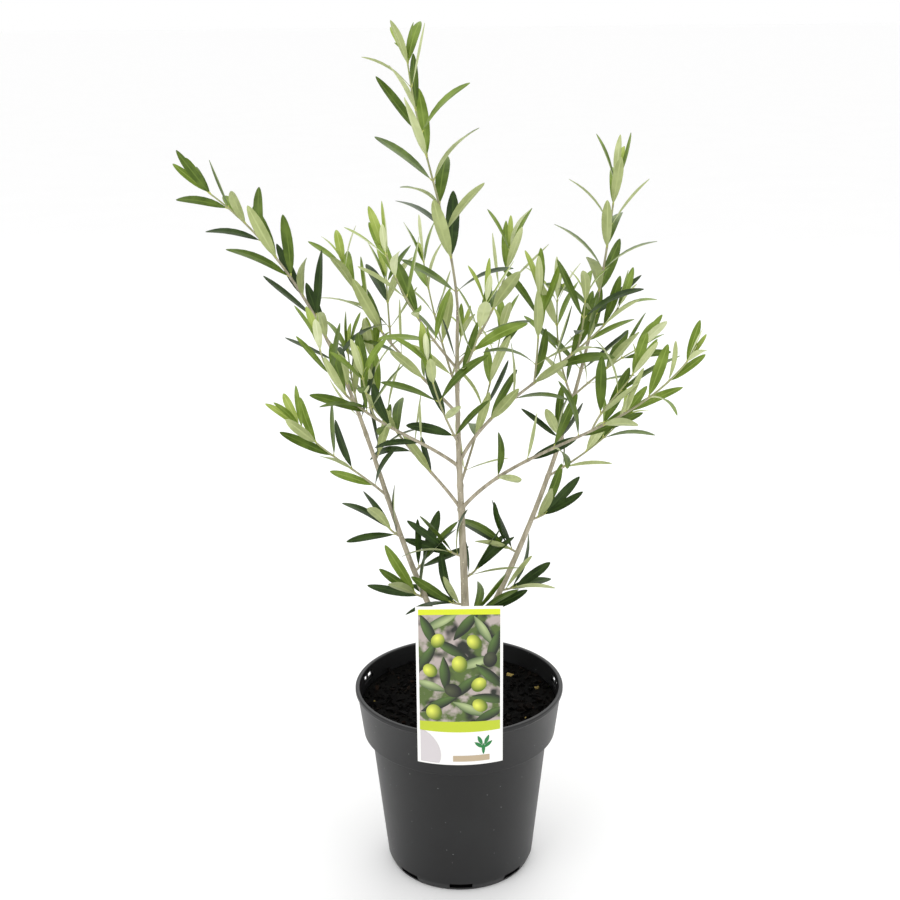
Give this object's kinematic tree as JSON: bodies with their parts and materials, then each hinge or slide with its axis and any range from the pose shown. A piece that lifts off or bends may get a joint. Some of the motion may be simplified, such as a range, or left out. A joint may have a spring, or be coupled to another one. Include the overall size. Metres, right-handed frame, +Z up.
{
  "type": "potted olive tree",
  "caption": "Young olive tree in a tapered black nursery pot, with upright stems, leafy boughs and shoots, potting mix and a plain picture card on the rim.",
  "frame": {"origin": "middle of the pot's flat underside, on the surface it stands on", "axes": "+Z up; -Y towards the front, where the card hangs; +X to the right of someone facing the front"},
  "size_m": [0.4537, 0.2408, 0.8077],
  "materials": {
    "pot_plastic": "satin black moulded polypropylene, lightly dusty, with a pale worn rim",
    "potting_mix": "damp composted bark, near black, with a few pale chips",
    "card": null,
    "bark": "smooth grey-beige young bark with small breathing pores, greener towards the tips",
    "leaves": "leathery leaves, dark green above and pale sage below, on pale green twigs"
  },
  "bodies": {
    "root": {"back_high_shoot_foliage": "leaves", "back_low_shoot_foliage": "leaves", "front_high_shoot_foliage": "leaves", "front_low_shoot_foliage": "leaves", "label_card": "card", "leader_foliage": "leaves", "left_back_bough": "bark", "left_back_foliage": "leaves", "left_front_bough": "bark", "left_front_foliage": "leaves", "left_high_bough": "bark", "left_high_foliage": "leaves", "left_low_bough": "bark", "left_low_foliage": "leaves", "left_shoot_foliage": "leaves", "left_stem": "bark", "left_stem_foliage": "leaves", "left_stem_spray_5_foliage": "leaves", "left_stem_spray_6_foliage": "leaves", "left_stem_spray_7_foliage": "leaves", "left_stem_spray_8_foliage": "leaves", "left_upper_shoot_foliage": "leaves", "pot": "pot_plastic", "potting_mix": "potting_mix", "right_high_bough": "bark", "right_high_foliage": "leaves", "right_inner_shoot_foliage": "leaves", "right_low_bough": "bark", "right_low_foliage": "leaves", "right_mid_bough": "bark", "right_mid_foliage": "leaves", "right_outer_shoot_foliage": "leaves", "right_shoot_foliage": "leaves", "right_stem": "bark", "right_stem_foliage": "leaves", "right_stem_spray_10_foliage": "leaves", "right_stem_spray_11_foliage": "leaves", "right_stem_spray_12_foliage": "leaves", "right_stem_spray_9_foliage": "leaves", "trunk": "bark", "trunk_spray_1_foliage": "leaves", "trunk_spray_2_foliage": "leaves", "trunk_spray_3_foliage": "leaves", "trunk_spray_4_foliage": "leaves"}
  },
  "joints": []
}
